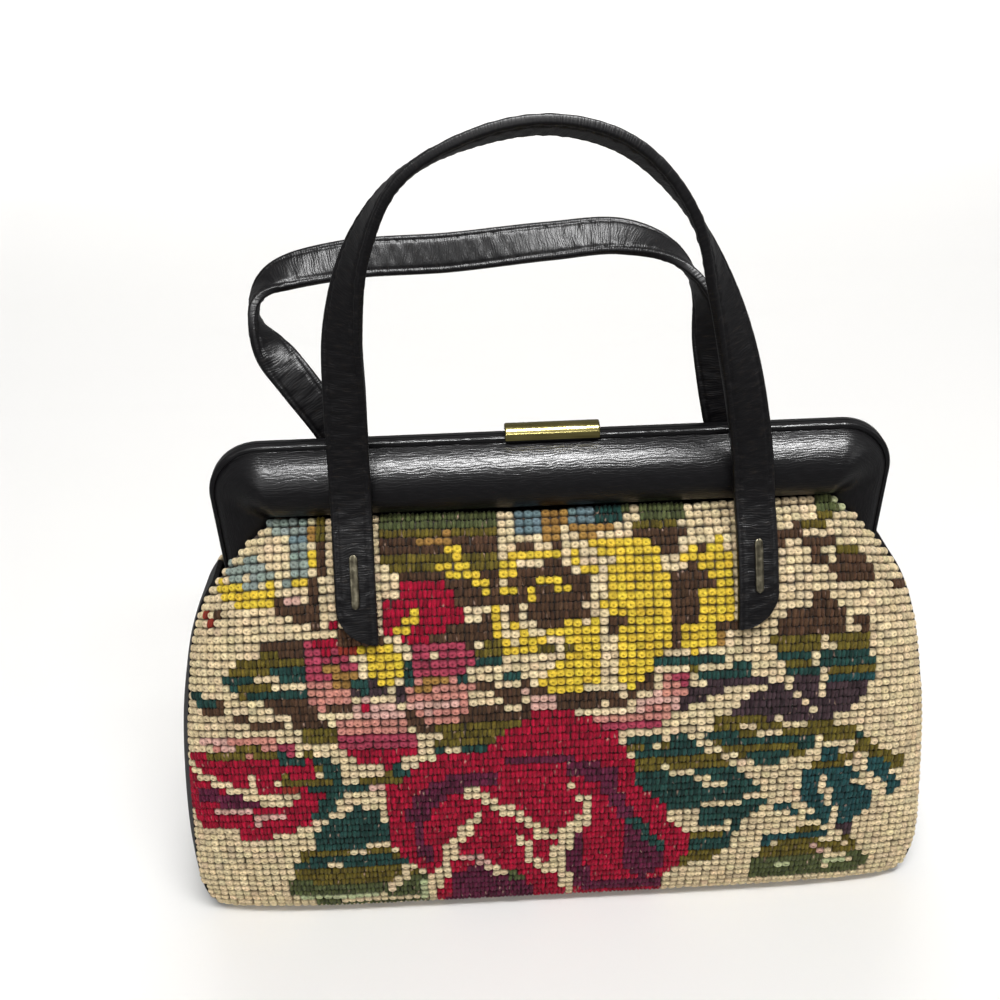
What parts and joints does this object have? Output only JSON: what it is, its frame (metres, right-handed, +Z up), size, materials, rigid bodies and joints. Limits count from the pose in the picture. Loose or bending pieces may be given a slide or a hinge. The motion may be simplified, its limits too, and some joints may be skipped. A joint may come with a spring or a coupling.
{
  "type": "needlepoint frame handbag",
  "caption": "Handbag with a padded leather hinged frame, floral wool needlepoint sides, a leather gusset, leather strap handles and a brass bar clasp that lifts on a hinge.",
  "frame": {"origin": "centre of the base, on the surface the bag stands on", "axes": "+X to the right across the bag seen from the front, +Y from the front panel to the back panel, +Z up"},
  "size_m": [0.3168, 0.1039, 0.3202],
  "materials": {
    "leather": "grained black leather, soft sheen",
    "needlepoint": "wool stitches in many colours on canvas, matt",
    "steel": "dull tarnished bar",
    "brass": "worn polish"
  },
  "bodies": {
    "bag": {"frame_front": "leather", "frame_back": "leather", "front_panel": "needlepoint", "back_panel": "needlepoint", "gusset": "leather", "hinge_left": "steel", "hinge_right": "steel", "handle_front": "leather", "handle_back": "leather", "staple_front_left": "steel", "staple_front_right": "steel", "staple_back_left": "steel", "staple_back_right": "steel", "clasp_base": "brass"},
    "clasp": {"clasp_bar": "brass"}
  },
  "joints": [
    {"name": "clasp_lift", "type": "hinge", "parent": "bag", "child": "clasp", "pos_m": [0, 0.0049, 0.1991], "axis": [-1, 0, 0], "range_deg": [0, 65]}
  ]
}
